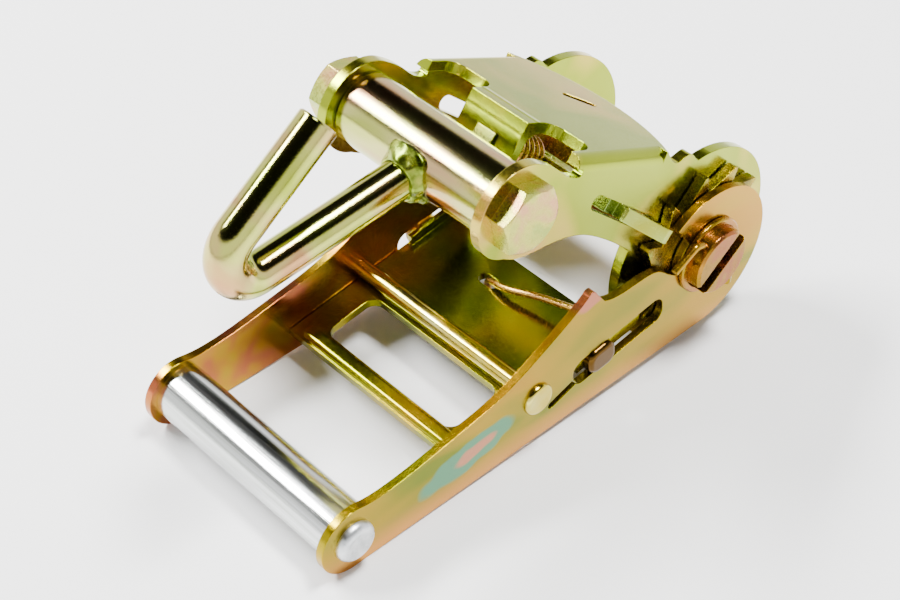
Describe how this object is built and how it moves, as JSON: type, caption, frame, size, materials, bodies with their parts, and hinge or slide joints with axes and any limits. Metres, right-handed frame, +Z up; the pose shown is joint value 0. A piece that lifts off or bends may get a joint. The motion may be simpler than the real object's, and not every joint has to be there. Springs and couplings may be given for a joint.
{
  "type": "webbing ratchet tensioner",
  "caption": "Ratchet strap tensioner with a folding handle, toothed spool, sprung pawls and a swivelling bent-bar finger hook on a bolted tube.",
  "frame": {"origin": "on the floor, at the middle of the bounding box's base, with the handle lying down and the frame folded up over it at about 44 degrees", "axes": "+X along the axle to the bolt-head side, +Y from the grip towards the spool, +Z up"},
  "size_m": [0.0828, 0.1704, 0.1119],
  "materials": {
    "yellow_zinc": "yellow chromate zinc, glossy",
    "bright_zinc": "bright zinc, glossy",
    "weld": "plated weld bead"
  },
  "bodies": {
    "handle": {"handle_plate_near": "yellow_zinc", "handle_plate_far": "yellow_zinc", "grip_tube": "bright_zinc", "grip_rivet": "bright_zinc", "cross_rod": "yellow_zinc"},
    "frame": {"frame_body": "yellow_zinc", "hook_bolt": "yellow_zinc", "hook_nut": "yellow_zinc", "lock_pawl_spring": "yellow_zinc"},
    "spool": {"spool_half_a": "yellow_zinc", "spool_half_b": "yellow_zinc", "ratchet_wheel_near": "yellow_zinc", "ratchet_wheel_far": "yellow_zinc", "spool_washer_near": "yellow_zinc", "spool_washer_far": "yellow_zinc", "split_pin_near": "yellow_zinc", "split_pin_far": "yellow_zinc"},
    "hook": {"hook_tube": "yellow_zinc", "finger_hook": "yellow_zinc", "hook_weld": "weld"},
    "lock_pawl": {"lock_pawl": "yellow_zinc"},
    "drive_pawl": {"drive_pawl": "yellow_zinc", "drive_pawl_spring": "yellow_zinc"}
  },
  "joints": [
    {"name": "frame_fold", "type": "hinge", "parent": "handle", "child": "frame", "pos_m": [0, 0.05573, 0.0295], "axis": [1, 0, 0], "range_deg": [-136, 14]},
    {"name": "spool_turn", "type": "hinge", "parent": "frame", "child": "spool", "pos_m": [0, 0.05573, 0.0295], "axis": [1, 0, 0], "continuous": true},
    {"name": "hook_swivel", "type": "hinge", "parent": "frame", "child": "hook", "pos_m": [0, -0.01433, 0.07885], "axis": [1, 0, 0], "range_deg": [-120, 12]},
    {"name": "lock_pawl_slide", "type": "slide", "parent": "frame", "child": "lock_pawl", "axis": [0, -0.7482, 0.6634], "range_m": [0, 0.0055], "stiffness_N_per_m": 900, "springref_m": -0.004, "deforming": ["lock_pawl_spring"]},
    {"name": "drive_pawl_slide", "type": "slide", "parent": "handle", "child": "drive_pawl", "axis": [0, -0.9889, -0.1485], "range_m": [0, 0.005], "stiffness_N_per_m": 600, "springref_m": -0.004, "deforming": ["drive_pawl_spring"]}
  ]
}
